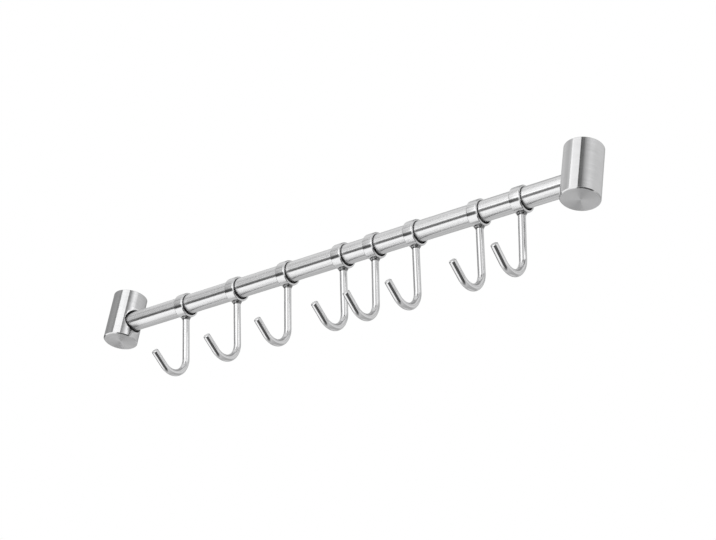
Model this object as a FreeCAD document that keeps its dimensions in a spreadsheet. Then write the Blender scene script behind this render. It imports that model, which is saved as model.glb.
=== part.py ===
"""Kitchen utensil rail: a round tube between two turned end posts, with eight sliding hooks.

Millimetres, +Z up. The mounting plane is z = 0 and the posts hang below it. The rail runs along X,
midway between the posts at x = 0, and the mouths of the hooks face the front, -Y.
"""

import FreeCAD, Part
import Sketcher

import os

SIZES = {
    # Rail tube
    "rail_diameter": 16.0,
    "rail_wall": 1.2,
    "rail_clearance": 0.1,
    "rail_end_clearance": 0.5,
    # End posts, from post axis to post axis, and from the rail's axis to each end of a post
    "post_spacing": 460.0,
    "post_diameter": 29.0,
    "rail_to_mount": 26.7,
    "rail_to_cap": 16.3,
    "cap_chamfer": 0.7,
    "rim_chamfer": 0.3,
    "bore_end_wall": 8.5,
    # Mounting discs in the backs of the posts
    "disc_diameter": 21.0,
    "disc_thickness": 7.0,
    "disc_clearance": 0.1,
    "disc_relief": 1.0,
    "disc_chamfer": 0.4,
    "groove_depth": 1.2,
    "screw_hole_diameter": 4.5,
    "countersink_diameter": 9.0,
    # Grub screws
    "lock_diameter": 4.0,
    "lock_length": 4.65,
    "lock_socket": 2.0,
    "clamp_diameter": 5.0,
    "clamp_socket": 2.5,
    "clamp_chamfer": 0.5,
    "socket_depth": 2.0,
    "grub_sink": 0.5,
    "thread_clearance": 0.05,
    "point_clearance": 0.05,
    # Hook rings, loose on the rail by the play across their diameter
    "ring_play": 1.6,
    "ring_wall": 1.5,
    "ring_width": 9.0,
    "ring_edge": 0.3,
    "ring_seat_clearance": 0.1,
    # Hook wires, with the shank measured below the ring
    "wire_diameter": 5.7,
    "shank_length": 35.2,
    "bend_radius": 14.6,
    "bend_angle": 133.8,
    "tip_length": 14.6,
    "tip_chamfer": 0.5,
    "weld_flare": 0.8,
    "weld_height": 2.5,
    "weld_clearance": 0.1,
    # The angle by which its ring's friction on the rail holds each hook off plumb, backward if positive
    "off_plumb_1": 3.2,
    "off_plumb_2": 3.2,
    "off_plumb_3": 1.9,
    "off_plumb_4": 2.8,
    "off_plumb_5": 1.6,
    "off_plumb_6": 2.8,
    "off_plumb_7": 1.9,
    "off_plumb_8": -1.0,
    # How the free rail is shared out: the gap before each hook, and the last one before the right post
    "gap_1": 56.0,
    "gap_2": 49.0,
    "gap_3": 46.0,
    "gap_4": 48.0,
    "gap_5": 22.5,
    "gap_6": 29.5,
    "gap_7": 49.0,
    "gap_8": 28.0,
    "gap_9": 31.0,
}
HOOK_COUNT = 8
# The side of the rail on which each post stands, as the sign of its x
SIDES = {"left": -1, "right": 1}
# Points closer than this are one point
SAME_POINT = 0.01

RAIL_RADIUS = "(Sizes.rail_diameter / 2)"
POST_RADIUS = "(Sizes.post_diameter / 2)"
POST_LENGTH = "(Sizes.rail_to_mount + Sizes.rail_to_cap)"
BLIND_REACH = f"({POST_RADIUS} - Sizes.bore_end_wall)"
RECESS_DEPTH = "(Sizes.disc_thickness + Sizes.disc_relief)"
RECESS_RADIUS = "(Sizes.disc_diameter / 2 + Sizes.disc_clearance)"
DISC_RADIUS = "(Sizes.disc_diameter / 2)"
DISC_MIDDLE = "(Sizes.disc_thickness / 2)"
LOCK_START = f"({DISC_RADIUS} - Sizes.groove_depth + Sizes.point_clearance)"
CLAMP_START = f"(Sizes.rail_to_mount - {RAIL_RADIUS} - Sizes.point_clearance)"
CLAMP_LENGTH = f"({CLAMP_START} - {RECESS_DEPTH} - Sizes.grub_sink)"
RING_BORE = f"({RAIL_RADIUS} + Sizes.ring_play / 2)"
RING_RADIUS = f"({RING_BORE} + Sizes.ring_wall)"
RING_DROP = "(Sizes.rail_to_mount + Sizes.ring_play / 2 - Sizes.ring_seat_clearance)"
WIRE_RADIUS = "(Sizes.wire_diameter / 2)"
SHANK_END = f"({RING_RADIUS} + Sizes.shank_length)"
BEND_SINE = "sin(Sizes.bend_angle)"
BEND_COSINE = "cos(Sizes.bend_angle)"
BEND_RADIANS = "(Sizes.bend_angle * pi / 180)"

# First moments of the bent wire about the ring's axis: outward to the mouth, and down the shank.
# A hook is plumb with its centre of mass under the ring, so their ratio gives its lean there.
OUTWARD_MOMENT = (
    f"(Sizes.bend_radius ^ 2 * ({BEND_RADIANS} - {BEND_SINE})"
    f" + Sizes.tip_length * (Sizes.bend_radius * (1 - {BEND_COSINE}) + Sizes.tip_length / 2 * {BEND_SINE}))"
)
DOWNWARD_MOMENT = (
    f"(({SHANK_END} ^ 2 - {RING_RADIUS} ^ 2) / 2"
    f" + Sizes.bend_radius * {BEND_RADIANS} * {SHANK_END} + Sizes.bend_radius ^ 2 * (1 - {BEND_COSINE})"
    f" + Sizes.tip_length * ({SHANK_END} + Sizes.bend_radius * {BEND_SINE})"
    f" + Sizes.tip_length ^ 2 / 2 * {BEND_COSINE})"
)
PLUMB_LEAN = f"atan({OUTWARD_MOMENT} / {DOWNWARD_MOMENT})"

CLEAR_RAIL = "(Sizes.post_spacing - Sizes.post_diameter)"
FREE_RAIL = f"({CLEAR_RAIL} - {HOOK_COUNT} * Sizes.ring_width)"


def make_sheet(doc):
    """Write the driving sizes into the document's spreadsheet, one named cell each."""
    sheet = doc.addObject("Spreadsheet::Sheet", "Sizes")
    for row, (alias, size) in enumerate(SIZES.items(), start=1):
        sheet.set(f"A{row}", alias.replace("_", " "))
        sheet.set(f"B{row}", str(size))
        sheet.setAlias(f"B{row}", alias)
    doc.recompute()
    return sheet


def value(obj, expression):
    """The number that an expression has now."""
    return float(obj.evalExpression(expression))


def bind(obj, **expressions):
    """Tie properties to expressions, with a double underscore for a dot in the property's path."""
    for path, expression in expressions.items():
        obj.setExpression(path.replace("__", "."), expression)


def origin_feature(body, role):
    """A body's own origin plane or axis, by its role."""
    return next(f for f in body.Origin.OriginFeatures if f.Role == role)


def new_body(doc, name):
    """An empty body whose label is the name of its piece."""
    body = doc.addObject("PartDesign::Body", name)
    body.Label = name
    return body


def new_sketch(body, name, plane):
    """A sketch on one of the body's own origin planes."""
    sketch = body.newObject("Sketcher::SketchObject", name)
    sketch.AttachmentSupport = [(origin_feature(body, plane), "")]
    sketch.MapMode = "FlatFace"
    return sketch


def constrain(sketch, expression, kind, *elements):
    """Add a constraint whose value is tied to an expression."""
    index = sketch.addConstraint(Sketcher.Constraint(kind, *elements, value(sketch, expression)))
    sketch.setExpression(f"Constraints[{index}]", expression)


def place_point(sketch, geometry, point, place):
    """Tie a sketch point to a pair of expressions, or to the axes where they are zero."""
    horizontal, vertical = place
    if horizontal == "0":
        sketch.addConstraint(Sketcher.Constraint("PointOnObject", geometry, point, -2))
    else:
        constrain(sketch, horizontal, "DistanceX", -1, 1, geometry, point)
    if vertical == "0":
        sketch.addConstraint(Sketcher.Constraint("PointOnObject", geometry, point, -1))
    else:
        constrain(sketch, vertical, "DistanceY", -1, 1, geometry, point)


def draw_circle(sketch, radius, centre=("0", "0")):
    """A circle whose radius and centre are tied to expressions."""
    middle = FreeCAD.Vector(*(value(sketch, part) for part in centre), 0)
    circle = Part.Circle(middle, FreeCAD.Vector(0, 0, 1), value(sketch, radius))
    geometry = sketch.addGeometry(circle)
    constrain(sketch, radius, "Radius", geometry)
    place_point(sketch, geometry, 3, centre)


def draw_chain(sketch, corners, arcs=None, closed=True):
    """A chain of lines and arcs through corners that are tied to expressions.

    arcs gives, for the number of the corner where an arc starts, a point on its way and its radius.
    """
    arcs = arcs or {}
    points = [FreeCAD.Vector(*(value(sketch, part) for part in corner), 0) for corner in corners]
    count = len(corners) if closed else len(corners) - 1
    ends = []
    for number in range(count):
        start, end = points[number], points[(number + 1) % len(points)]
        if number in arcs:
            middle = FreeCAD.Vector(*(value(sketch, part) for part in arcs[number][0]), 0)
            geometry = sketch.addGeometry(Part.Arc(start, middle, end))
        else:
            geometry = sketch.addGeometry(Part.LineSegment(start, end))
        forward = sketch.getPoint(geometry, 1).distanceToPoint(start) < SAME_POINT
        ends.append((geometry, 1, 2) if forward else (geometry, 2, 1))
    for number, (geometry, start, end) in enumerate(ends):
        place_point(sketch, geometry, start, corners[number])
        if closed or number + 1 < count:
            following, its_start, _ = ends[(number + 1) % count]
            sketch.addConstraint(Sketcher.Constraint("Coincident", geometry, end, following, its_start))
    if not closed:
        place_point(sketch, ends[-1][0], ends[-1][2], corners[-1])
    for number, (_, radius) in arcs.items():
        constrain(sketch, radius, "Radius", ends[number][0])


def revolve(body, name, corners, arcs=None):
    """Turn an outline of the XZ plane about the body's Z axis."""
    sketch = new_sketch(body, f"{name}_outline", "XZ_Plane")
    draw_chain(sketch, corners, arcs)
    turned = body.newObject("PartDesign::Revolution", name)
    turned.Profile = sketch
    turned.ReferenceAxis = (sketch, ["V_Axis"])
    turned.Angle = 360
    sketch.Document.recompute()
    return turned


def pocket(body, name, sketch, **lengths):
    """Cut a sketch out of the body, and check that the cut takes material away."""
    before = body.Shape.Volume
    cut = body.newObject("PartDesign::Pocket", name)
    cut.Profile = sketch
    if not lengths:
        cut.Type = "ThroughAll"
    if "Length2" in lengths:
        cut.SideType = "Two sides"
    bind(cut, **lengths)
    body.Document.recompute()
    if body.Shape.Volume >= before:
        raise ValueError(f"{body.Label}: {name} cuts nothing")
    return cut


def dress(body, kind, name, base, edges, size):
    """A fillet or chamfer, tied to a size, on numbered edges of a feature."""
    feature = body.newObject(f"PartDesign::{kind}", name)
    feature.Base = (base, [f"Edge{number}" for number in edges])
    bind(feature, **{"Radius" if kind == "Fillet" else "Size": size})
    body.Document.recompute()
    return feature


def round_edges(shape, centre=None):
    """Numbers of the full-circle edges of a shape, or of those about one point."""
    return [
        number
        for number, edge in enumerate(shape.Edges, start=1)
        if isinstance(edge.Curve, Part.Circle)
        and edge.isClosed()
        and (centre is None or edge.Curve.Center.distanceToPoint(centre) < SAME_POINT)
    ]


def make_rail(doc):
    """The rail: one straight tube whose ends stand in the blind bores of the posts."""
    body = new_body(doc, "rail_tube")
    sketch = new_sketch(body, "rail_section", "YZ_Plane")
    draw_circle(sketch, RAIL_RADIUS)
    draw_circle(sketch, f"{RAIL_RADIUS} - Sizes.rail_wall")
    tube = body.newObject("PartDesign::Pad", "rail_length")
    tube.Profile = sketch
    tube.SideType = "Symmetric"
    bind(tube, Length=f"Sizes.post_spacing + 2 * ({BLIND_REACH} - Sizes.rail_end_clearance)")
    bind(body, Placement__Base__z="-Sizes.rail_to_mount")
    return body


def make_post(doc, side, sign):
    """An end post: a turned bar, recessed at the back, with a blind bore for the rail and tapped holes."""
    body = new_body(doc, f"{side}_post")
    revolve(body, f"{side}_post_bar", [
        ("0", f"-{RECESS_DEPTH}"),
        (RECESS_RADIUS, f"-{RECESS_DEPTH}"),
        (RECESS_RADIUS, "0"),
        (f"{POST_RADIUS} - Sizes.rim_chamfer", "0"),
        (POST_RADIUS, "-Sizes.rim_chamfer"),
        (POST_RADIUS, f"Sizes.cap_chamfer - {POST_LENGTH}"),
        (f"{POST_RADIUS} - Sizes.cap_chamfer", f"-{POST_LENGTH}"),
        ("0", f"-{POST_LENGTH}"),
    ])
    bore = new_sketch(body, f"{side}_rail_bore_section", "YZ_Plane")
    draw_circle(bore, f"{RAIL_RADIUS} + Sizes.rail_clearance", ("0", "-Sizes.rail_to_mount"))
    if sign < 0:
        pocket(body, f"{side}_rail_bore", bore, Length=BLIND_REACH, Length2=POST_RADIUS)
    else:
        pocket(body, f"{side}_rail_bore", bore, Length=POST_RADIUS, Length2=BLIND_REACH)
    lock = new_sketch(body, f"{side}_lock_hole_section", "XZ_Plane")
    draw_circle(lock, "Sizes.lock_diameter / 2 + Sizes.thread_clearance", ("0", f"-{DISC_MIDDLE}"))
    pocket(body, f"{side}_lock_hole", lock)
    clamp = new_sketch(body, f"{side}_clamp_hole_section", "XY_Plane")
    draw_circle(clamp, "Sizes.clamp_diameter / 2 + Sizes.thread_clearance")
    pocket(body, f"{side}_clamp_hole", clamp, Length="Sizes.rail_to_mount")
    bind(body, Placement__Base__x=f"{sign} * Sizes.post_spacing / 2")
    return body


def make_disc(doc, side, sign):
    """A mounting disc: countersunk for one screw from the front, with a V groove round its edge."""
    body = new_body(doc, f"{side}_mounting_disc")
    hole = "Sizes.screw_hole_diameter / 2"
    sink = "Sizes.countersink_diameter / 2"
    revolve(body, f"{side}_disc_turning", [
        (hole, "0"),
        (f"{DISC_RADIUS} - Sizes.disc_chamfer", "0"),
        (DISC_RADIUS, "-Sizes.disc_chamfer"),
        (DISC_RADIUS, f"Sizes.groove_depth - {DISC_MIDDLE}"),
        (f"{DISC_RADIUS} - Sizes.groove_depth", f"-{DISC_MIDDLE}"),
        (DISC_RADIUS, f"-Sizes.groove_depth - {DISC_MIDDLE}"),
        (DISC_RADIUS, "-Sizes.disc_thickness"),
        (sink, "-Sizes.disc_thickness"),
        (hole, f"{sink} - {hole} - Sizes.disc_thickness"),
    ])
    bind(body, Placement__Base__x=f"{sign} * Sizes.post_spacing / 2")
    return body


def cut_socket(body, name, across, length):
    """A hexagon socket in the end of a grub screw that stands on its point."""
    sketch = new_sketch(body, f"{name}_section", "XY_Plane")
    bind(sketch, AttachmentOffset__Base__z=length)
    corner = f"Sizes.{across} / sqrt(3)"
    turns = range(30, 390, 60)
    draw_chain(sketch, [(f"{corner} * cos({turn})", f"{corner} * sin({turn})") for turn in turns])
    pocket(body, name, sketch, Length="Sizes.socket_depth")


def make_lock_screw(doc, side, sign):
    """The cone-point grub screw that holds a post on its disc, from behind."""
    body = new_body(doc, f"{side}_lock_screw")
    radius = "Sizes.lock_diameter / 2"
    revolve(body, f"{side}_lock_turning", [
        ("0", "0"),
        (radius, radius),
        (radius, "Sizes.lock_length"),
        ("0", "Sizes.lock_length"),
    ])
    cut_socket(body, f"{side}_lock_socket", "lock_socket", "Sizes.lock_length")
    body.Placement.Rotation = FreeCAD.Rotation(FreeCAD.Vector(1, 0, 0), -90)
    bind(
        body,
        Placement__Base__x=f"{sign} * Sizes.post_spacing / 2",
        Placement__Base__y=LOCK_START,
        Placement__Base__z=f"-{DISC_MIDDLE}",
    )
    return body


def make_clamp_screw(doc, side, sign):
    """The flat-point grub screw in a post's back that presses on the rail."""
    body = new_body(doc, f"{side}_clamp_screw")
    radius = "Sizes.clamp_diameter / 2"
    revolve(body, f"{side}_clamp_turning", [
        ("0", "0"),
        (f"{radius} - Sizes.clamp_chamfer", "0"),
        (radius, "Sizes.clamp_chamfer"),
        (radius, CLAMP_LENGTH),
        ("0", CLAMP_LENGTH),
    ])
    cut_socket(body, f"{side}_clamp_socket", "clamp_socket", CLAMP_LENGTH)
    bind(
        body,
        Placement__Base__x=f"{sign} * Sizes.post_spacing / 2",
        Placement__Base__z=f"-{CLAMP_START}",
    )
    return body


def gap_sum(count):
    """The sum of the first gaps between the hooks."""
    return "(" + " + ".join(f"Sizes.gap_{number}" for number in range(1, count + 1)) + ")"


def hang(body, number):
    """Put a ring or a wire, drawn about the ring's centre, at its hook's place on the rail."""
    gaps_before = f"{FREE_RAIL} * {gap_sum(number)} / {gap_sum(HOOK_COUNT + 1)}"
    bind(
        body,
        Placement__Base__x=f"{gaps_before} + ({number} - 0.5) * Sizes.ring_width - {CLEAR_RAIL} / 2",
        Placement__Base__z=f"-{RING_DROP}",
    )


def lean(number):
    """The angle from upright at which a hook's wire rests."""
    return f"({PLUMB_LEAN} + Sizes.off_plumb_{number} * 1 deg)"


def make_ring(doc, number):
    """A hook's ring: a short length of tube that hangs loose on the rail."""
    body = new_body(doc, f"hook_{number}_ring")
    sketch = new_sketch(body, f"ring_{number}_section", "YZ_Plane")
    draw_circle(sketch, RING_RADIUS)
    draw_circle(sketch, RING_BORE)
    tube = body.newObject("PartDesign::Pad", f"ring_{number}_tube")
    tube.Profile = sketch
    tube.SideType = "Symmetric"
    bind(tube, Length="Sizes.ring_width")
    doc.recompute()
    dress(body, "Fillet", f"ring_{number}_edges", tube, round_edges(tube.Shape), "Sizes.ring_edge")
    hang(body, number)
    return body


def make_wire(doc, number):
    """A hook's wire: a straight shank, a round bend and a short open leg, with a weld flare at its top."""
    body = new_body(doc, f"hook_{number}_wire")
    path = new_sketch(body, f"wire_{number}_path", "YZ_Plane")
    bend_end = (
        f"-Sizes.bend_radius * (1 - {BEND_COSINE})",
        f"-{SHANK_END} - Sizes.bend_radius * {BEND_SINE}",
    )
    tip = (
        f"{bend_end[0]} - Sizes.tip_length * {BEND_SINE}",
        f"{bend_end[1]} - Sizes.tip_length * {BEND_COSINE}",
    )
    half_turn = "Sizes.bend_angle / 2"
    bend_middle = (
        f"-Sizes.bend_radius * (1 - cos({half_turn}))",
        f"-{SHANK_END} - Sizes.bend_radius * sin({half_turn})",
    )
    corners = [("0", "0"), ("0", f"-{SHANK_END}"), bend_end, tip]
    draw_chain(path, corners, {1: (bend_middle, "Sizes.bend_radius")}, closed=False)
    section = new_sketch(body, f"wire_{number}_section", "XY_Plane")
    draw_circle(section, WIRE_RADIUS)
    wire = body.newObject("PartDesign::AdditivePipe", f"wire_{number}_bent")
    wire.Profile = section
    wire.Spine = (path, ["Edge1", "Edge2", "Edge3"])
    doc.recompute()

    tip_point = FreeCAD.Vector(0, *(value(path, part) for part in tip))
    tip_edges = round_edges(wire.Shape, tip_point)
    dress(body, "Chamfer", f"wire_{number}_tip", wire, tip_edges, "Sizes.tip_chamfer")
    weld_top = f"-{RING_BORE}"
    weld_foot = f"-{RING_RADIUS} - Sizes.weld_height"
    weld_edge = f"{WIRE_RADIUS} + Sizes.weld_flare"
    revolve(body, f"weld_{number}", [
        ("0", weld_top),
        (weld_edge, weld_top),
        (weld_edge, f"-{RING_RADIUS}"),
        (WIRE_RADIUS, weld_foot),
        ("0", weld_foot),
    ], {2: (
        (f"{WIRE_RADIUS} + Sizes.weld_flare / 4", f"-{RING_RADIUS} - Sizes.weld_height / 2"),
        "(Sizes.weld_flare ^ 2 + Sizes.weld_height ^ 2) / (2 * Sizes.weld_flare)",
    )})
    saddle = new_sketch(body, f"saddle_{number}_section", "YZ_Plane")
    draw_circle(saddle, f"{RING_RADIUS} + Sizes.weld_clearance")
    pocket(body, f"saddle_{number}", saddle, Length="Sizes.ring_width", Length2="Sizes.ring_width")
    body.Placement.Rotation = FreeCAD.Rotation(FreeCAD.Vector(1, 0, 0), value(path, lean(number)))
    bind(body, Placement__Rotation__Angle=lean(number))
    hang(body, number)
    return body


def check(doc, pieces):
    """Stop unless every object is computed and every piece is one valid solid."""
    for obj in doc.Objects:
        if {"Invalid", "Error"} & set(obj.State):
            raise ValueError(f"{obj.Label} is {obj.State}")
    for piece in pieces:
        if piece.Shape.isNull() or not piece.Shape.isValid() or len(piece.Shape.Solids) != 1:
            raise ValueError(f"{piece.Label} is not one valid solid")


def main():
    """Build the document, check it and write one file for each piece."""
    doc = FreeCAD.newDocument("UtensilRail")
    sheet = make_sheet(doc)
    pieces = [make_rail(doc)]
    for side, sign in SIDES.items():
        for make in (make_post, make_disc, make_lock_screw, make_clamp_screw):
            pieces.append(make(doc, side, sign))
    for number in range(1, HOOK_COUNT + 1):
        pieces += [make_ring(doc, number), make_wire(doc, number)]
    doc.recompute()
    check(doc, pieces)
    os.makedirs("parts", exist_ok=True)
    for piece in pieces:
        piece.Shape.exportStep(f"parts/{piece.Label}.step")
    leans = ", ".join(f"{value(sheet, lean(number)):.2f}" for number in range(1, HOOK_COUNT + 1))
    print(f"{len(pieces)} pieces, hooks rest at {leans} degrees")


main()
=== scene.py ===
"""Kitchen utensil rail: a steel tube between two turned end posts, with eight sliding hooks.

Metres, in the frame of the solid model: +Z up, the mounting plane at z = 0, the rail along X and the
mouths of the hooks to the front, -Y. Sizes are written in millimetres and scaled by MM.
"""

import logging
import math
from dataclasses import dataclass
from enum import Enum
from typing import Callable, Iterable, Sequence, Union

import bmesh
import bpy
from mathutils import Euler, Matrix, Vector


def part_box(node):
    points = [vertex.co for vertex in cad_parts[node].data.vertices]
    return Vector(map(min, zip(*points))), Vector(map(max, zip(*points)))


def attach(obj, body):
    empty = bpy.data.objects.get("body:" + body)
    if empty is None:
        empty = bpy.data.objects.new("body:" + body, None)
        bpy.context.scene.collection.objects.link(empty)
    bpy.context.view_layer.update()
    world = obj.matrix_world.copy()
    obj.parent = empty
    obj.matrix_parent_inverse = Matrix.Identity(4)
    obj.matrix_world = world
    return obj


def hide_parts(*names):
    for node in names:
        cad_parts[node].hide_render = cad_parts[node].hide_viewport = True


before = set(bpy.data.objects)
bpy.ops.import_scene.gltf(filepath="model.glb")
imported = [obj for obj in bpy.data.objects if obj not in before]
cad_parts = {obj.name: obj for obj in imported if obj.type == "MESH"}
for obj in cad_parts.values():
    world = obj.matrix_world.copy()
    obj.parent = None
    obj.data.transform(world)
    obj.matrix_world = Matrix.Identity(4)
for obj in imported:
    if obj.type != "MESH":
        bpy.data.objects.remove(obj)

LOG = logging.getLogger("utensil_rail")
MM = 0.001
WRAP = "wrap"
FIXED_BODY = "rail_and_posts"
# Watts per square metre of a panel that a mirror shows as white
WATTS_PER_LEVEL = 4.0
# How far, in millimetres, a face may lie from the surface that gives it a finish
FACE_MARGIN = 0.05

Source = Union[float, Sequence[float], bpy.types.NodeSocket]


class Side(Enum):
    """The end of the rail on which a post stands, with the sign of its x."""

    LEFT = -1
    RIGHT = 1


class Axis(Enum):
    """The axis that a round piece is turned about."""

    X = "x"
    Z = "z"


class Closing(Enum):
    """How a stack of loops ends: in a cap at each end, or in its own first loop."""

    CAPPED = "capped"
    TUBE = "tube"


class Grain(Enum):
    """The way the polishing lines run on a round piece."""

    AROUND = "around"
    ALONG = "along"


class Point(Enum):
    """The shape of a grub screw's point."""

    CONE = "cone"
    FLAT = "flat"


class NodeBoard:
    """A node tree with short calls for the nodes that the finishes and the studio use."""

    def __init__(self, tree: bpy.types.NodeTree) -> None:
        """Start on an emptied tree.

        Args:
            tree: The node tree of a material or of the world.
        """
        self.tree = tree
        tree.nodes.clear()

    def add(self, kind: str, **settings: object) -> bpy.types.Node:
        """Place a node.

        Args:
            kind: The node's type name.
            **settings: Values for the node's own properties.

        Returns:
            The new node.
        """
        node = self.tree.nodes.new(kind)
        for name, setting in settings.items():
            setattr(node, name, setting)
        return node

    def feed(self, socket: bpy.types.NodeSocket, source: Source) -> None:
        """Join a socket to an output, or give it a plain value.

        Args:
            socket: The input socket.
            source: An output socket, a number or a row of numbers.
        """
        if isinstance(source, bpy.types.NodeSocket):
            self.tree.links.new(source, socket)
        else:
            socket.default_value = source

    def math(self, operation: str, *sources: Source) -> bpy.types.NodeSocket:
        """A sum on numbers.

        Args:
            operation: The math node's operation.
            *sources: Its inputs in order.

        Returns:
            The result's socket.
        """
        node = self.add("ShaderNodeMath", operation=operation)
        for socket, source in zip(node.inputs, sources):
            self.feed(socket, source)
        return node.outputs[0]

    def product(self, first: Source, *others: Source) -> bpy.types.NodeSocket:
        """Numbers multiplied together.

        Args:
            first: The first number.
            *others: The numbers that it is multiplied by.

        Returns:
            The product's socket.
        """
        for other in others:
            first = self.math("MULTIPLY", first, other)
        return first

    def span(
        self, source: Source, low: float, high: float, start: float = 0.0, end: float = 1.0
    ) -> bpy.types.NodeSocket:
        """A smooth step of a number from one level to another.

        Args:
            source: The number that is read.
            low: Where the step begins.
            high: Where the step ends.
            start: The level before the step.
            end: The level after it.

        Returns:
            The stepped number's socket.
        """
        node = self.add("ShaderNodeMapRange", interpolation_type="SMOOTHSTEP")
        levels = (low, high, start, end) if low < high else (high, low, end, start)
        for socket, level in zip(node.inputs, (source, *levels)):
            self.feed(socket, level)
        return node.outputs[0]

    def mix(self, share: Source, first: Source, second: Source) -> bpy.types.NodeSocket:
        """A number between two numbers.

        Args:
            share: How much of the second is taken.
            first: The number at a share of nothing.
            second: The number at a share of one.

        Returns:
            The mixed number's socket.
        """
        node = self.add("ShaderNodeMix", data_type="FLOAT")
        self.feed(node.inputs["Factor"], share)
        self.feed(node.inputs["A"], first)
        self.feed(node.inputs["B"], second)
        return node.outputs[0]

    def bearing_levels(
        self, x: bpy.types.NodeSocket, y: bpy.types.NodeSocket, levels: Sequence[tuple[float, float]]
    ) -> bpy.types.NodeSocket:
        """A level that follows the bearing of a direction in plan.

        Args:
            x: The direction's first part.
            y: The direction's second part.
            levels: Bearings in degrees from -180 to 180, counted from +X towards +Y, each with its level.

        Returns:
            The level's socket.
        """
        bearing = self.math("ADD", self.math("DIVIDE", self.math("ARCTAN2", y, x), math.tau), 0.5)
        node = self.add("ShaderNodeValToRGB")
        self.feed(node.inputs[0], bearing)
        ramp = node.color_ramp
        ramp.interpolation = "EASE"
        tallest = max(level for _, level in levels)
        while len(ramp.elements) < len(levels):
            ramp.elements.new(0.5)
        for stop, (degrees, level) in zip(ramp.elements, levels):
            stop.position = degrees / 360 + 0.5
            stop.color = (*[level / tallest] * 3, 1)
        return self.math("MULTIPLY", node.outputs[0], tallest)

    def vector(self, x: Source, y: Source, z: Source) -> bpy.types.NodeSocket:
        """Three numbers as one vector.

        Args:
            x: The first number.
            y: The second number.
            z: The third number.

        Returns:
            The vector's socket.
        """
        node = self.add("ShaderNodeCombineXYZ")
        for socket, source in zip(node.inputs, (x, y, z)):
            self.feed(socket, source)
        return node.outputs[0]

    def noise(self, place: bpy.types.NodeSocket, scale: float, detail: float = 2.0) -> bpy.types.NodeSocket:
        """Smooth random levels about one half.

        Args:
            place: Where the levels are read.
            scale: How closely they follow one another.
            detail: How many finer layers are added.

        Returns:
            The level's socket.
        """
        node = self.add("ShaderNodeTexNoise")
        self.feed(node.inputs["Vector"], place)
        self.feed(node.inputs["Scale"], scale)
        self.feed(node.inputs["Detail"], detail)
        return node.outputs[0]


@dataclass(frozen=True)
class SteelFinish:
    """How one kind of steel surface is polished.

    The lines of the polish follow the piece's own wrap: once round it, and metre by metre along it.
    """

    name: str
    tint: tuple[float, float, float]
    roughness: float
    roughness_spread: float
    anisotropy: float
    line_pitch: float
    line_length: float
    shade_spread: float
    line_depth: float
    grain: Grain = Grain.AROUND
    broad_factor: float = 7.0
    broad_share: float = 0.4
    smudges_per_metre: float = 70.0
    smudge_share: float = 0.3
    shade_range: tuple[float, float] = (0.3, 0.7)
    rough_range: tuple[float, float] = (0.25, 0.75)
    relief: float = 0.35

    def line_place(self, board: NodeBoard, girth: float, pitch: float) -> bpy.types.NodeSocket:
        """Where the polishing lines are read, stretched along the way they run.

        Args:
            board: The material's nodes.
            girth: The round piece's girth that the wrap goes once around.
            pitch: The spacing of the lines.

        Returns:
            The socket of the place, in units of one line.
        """
        wrap = board.add("ShaderNodeUVMap", uv_map=WRAP)
        parts = board.add("ShaderNodeSeparateXYZ")
        board.feed(parts.inputs[0], wrap.outputs[0])
        turn = board.math("MULTIPLY", parts.outputs[0], math.tau)
        across, along = self.line_length, pitch
        if self.grain is Grain.ALONG:
            across, along = along, across
        reach = girth / math.tau / across
        return board.vector(
            board.math("MULTIPLY", board.math("COSINE", turn), reach),
            board.math("MULTIPLY", board.math("SINE", turn), reach),
            board.math("DIVIDE", parts.outputs[1], along),
        )

    def material(self, girth: float) -> bpy.types.Material:
        """The finish as a material, made once.

        Args:
            girth: The girth of the pieces that it is for.

        Returns:
            The material.
        """
        if self.name in bpy.data.materials:
            return bpy.data.materials[self.name]
        material = bpy.data.materials.new(self.name)
        material.use_nodes = True
        board = NodeBoard(material.node_tree)
        fine = board.noise(self.line_place(board, girth, self.line_pitch), scale=1.0, detail=3.0)
        broad_pitch = self.line_pitch * self.broad_factor
        broad = board.noise(self.line_place(board, girth, broad_pitch), scale=1.0, detail=1.0)
        place = board.add("ShaderNodeTexCoord").outputs["Object"]
        smudge = board.noise(place, self.smudges_per_metre)
        lines = board.mix(self.broad_share, fine, broad)
        tone = board.mix(self.smudge_share, lines, smudge)

        steel = board.add("ShaderNodeBsdfPrincipled")
        steel.inputs["Metallic"].default_value = 1.0
        steel.inputs["Anisotropic"].default_value = self.anisotropy
        quarter_turn = 0.25
        lines_turned = quarter_turn if self.grain is Grain.AROUND else 0.0
        steel.inputs["Anisotropic Rotation"].default_value = lines_turned
        tangent = board.add("ShaderNodeTangent", direction_type="UV_MAP", uv_map=WRAP)
        board.feed(steel.inputs["Tangent"], tangent.outputs[0])
        shades = board.add("ShaderNodeMix", data_type="RGBA")
        colour_sockets = [socket for socket in shades.inputs if socket.type == "RGBA"]
        for socket, share in zip(colour_sockets, (1 - self.shade_spread, 1 + self.shade_spread)):
            socket.default_value = (*(min(1.0, part * share) for part in self.tint), 1.0)
        board.feed(shades.inputs["Factor"], board.span(tone, *self.shade_range))
        shade = next(socket for socket in shades.outputs if socket.type == "RGBA")
        board.feed(steel.inputs["Base Color"], shade)
        least, most = self.roughness - self.roughness_spread, self.roughness + self.roughness_spread
        board.feed(steel.inputs["Roughness"], board.span(tone, *self.rough_range, least, most))
        bump = board.add("ShaderNodeBump")
        bump.inputs["Strength"].default_value = self.relief
        bump.inputs["Distance"].default_value = self.line_depth
        board.feed(bump.inputs["Height"], lines)
        board.feed(steel.inputs["Normal"], bump.outputs[0])
        output = board.add("ShaderNodeOutputMaterial")
        board.feed(output.inputs["Surface"], steel.outputs[0])
        return material


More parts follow.
